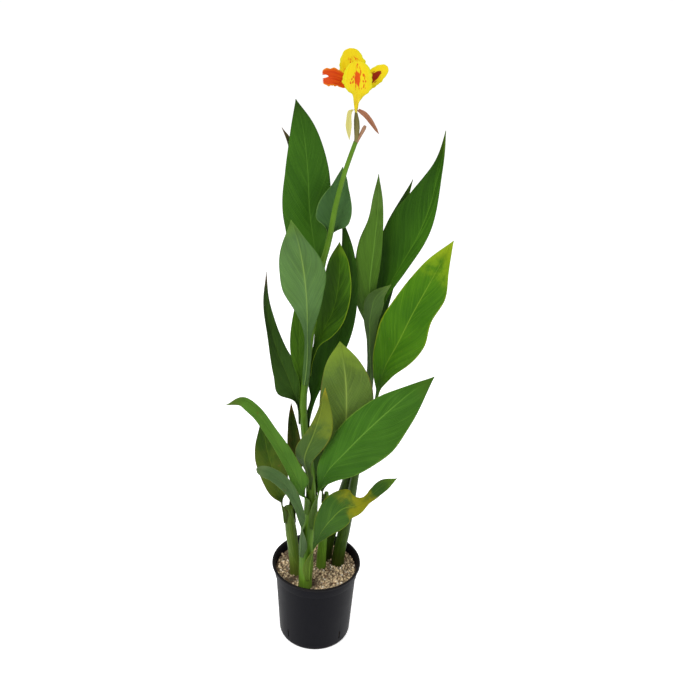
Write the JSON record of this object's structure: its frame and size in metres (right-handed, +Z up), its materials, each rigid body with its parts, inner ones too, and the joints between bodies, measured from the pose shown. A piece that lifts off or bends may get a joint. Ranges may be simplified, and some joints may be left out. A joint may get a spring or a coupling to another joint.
{
  "type": "canna lily plant",
  "caption": "Canna lily in a round nursery pot, with broad upright leaves, several shoots from gravel-topped soil and one spotted bloom on a tall stalk.",
  "frame": {"origin": "centre of the pot's underside, on the surface the pot stands on", "axes": "+Z up along the plant from the pot's base to the bloom, -Y towards the viewer of the picture, +X to the viewer's right"},
  "size_m": [0.4742, 0.2955, 1.4632],
  "materials": {
    "pot_plastic": "satin black moulded plastic",
    "soil_surface": "damp crumbly potting soil",
    "gravel_surface": "small beige grit, matt",
    "shoot_green": "smooth satin plant stem",
    "petal_yellow": "soft satin petal, yellow with orange spots",
    "petal_orange": "soft satin petal, orange red",
    "sepal_red": "soft satin sepal, salmon red",
    "sepal_pale": "soft satin sepal, pale yellow green",
    "stalk_leaf_surface": "waxy satin leaf",
    "tall_left_leaf_surface": "waxy satin leaf",
    "curled_back_leaf_surface": "waxy satin leaf",
    "light_front_leaf_surface": "waxy satin leaf",
    "bright_edged_leaf_surface": "waxy satin leaf",
    "inner_right_leaf_surface": "waxy satin leaf",
    "left_strip_leaf_surface": "waxy satin leaf",
    "dark_left_leaf_surface": "waxy satin leaf",
    "upright_right_leaf_surface": "waxy satin leaf",
    "high_right_leaf_surface": "waxy satin leaf",
    "behind_right_leaf_surface": "waxy satin leaf",
    "rolled_leaf_surface": "waxy satin leaf",
    "yellow_tipped_leaf_surface": "waxy satin leaf",
    "centre_leaf_surface": "waxy satin leaf",
    "twisted_leaf_surface": "waxy satin leaf",
    "wide_right_leaf_surface": "waxy satin leaf",
    "arching_left_leaf_surface": "waxy satin leaf",
    "hanging_left_leaf_surface": "waxy satin leaf",
    "small_blue_leaf_surface": "waxy satin leaf",
    "brown_edged_leaf_surface": "waxy satin leaf",
    "inner_front_leaf_surface": "waxy satin leaf",
    "low_right_leaf_surface": "waxy satin leaf"
  },
  "bodies": {
    "root": {"stalk_leaf": "stalk_leaf_surface", "tall_left_leaf": "tall_left_leaf_surface", "curled_back_leaf": "curled_back_leaf_surface", "light_front_leaf": "light_front_leaf_surface", "bright_edged_leaf": "bright_edged_leaf_surface", "inner_right_leaf": "inner_right_leaf_surface", "left_strip_leaf": "left_strip_leaf_surface", "dark_left_leaf": "dark_left_leaf_surface", "upright_right_leaf": "upright_right_leaf_surface", "high_right_leaf": "high_right_leaf_surface", "behind_right_leaf": "behind_right_leaf_surface", "rolled_leaf": "rolled_leaf_surface", "yellow_tipped_leaf": "yellow_tipped_leaf_surface", "centre_leaf": "centre_leaf_surface", "twisted_leaf": "twisted_leaf_surface", "wide_right_leaf": "wide_right_leaf_surface", "arching_left_leaf": "arching_left_leaf_surface", "hanging_left_leaf": "hanging_left_leaf_surface", "small_blue_leaf": "small_blue_leaf_surface", "brown_edged_leaf": "brown_edged_leaf_surface", "inner_front_leaf": "inner_front_leaf_surface", "low_right_leaf": "low_right_leaf_surface", "flowering_shoot": "shoot_green", "left_shoot": "shoot_green", "right_shoot": "shoot_green", "back_shoot": "shoot_green", "middle_shoot": "shoot_green", "yellow_bloom": "petal_yellow", "orange_petal": "petal_orange", "red_sepal": "sepal_red", "pale_sepal": "sepal_pale", "pot": "pot_plastic", "potting_soil": "soil_surface", "gravel_topping": "gravel_surface"}
  },
  "joints": []
}
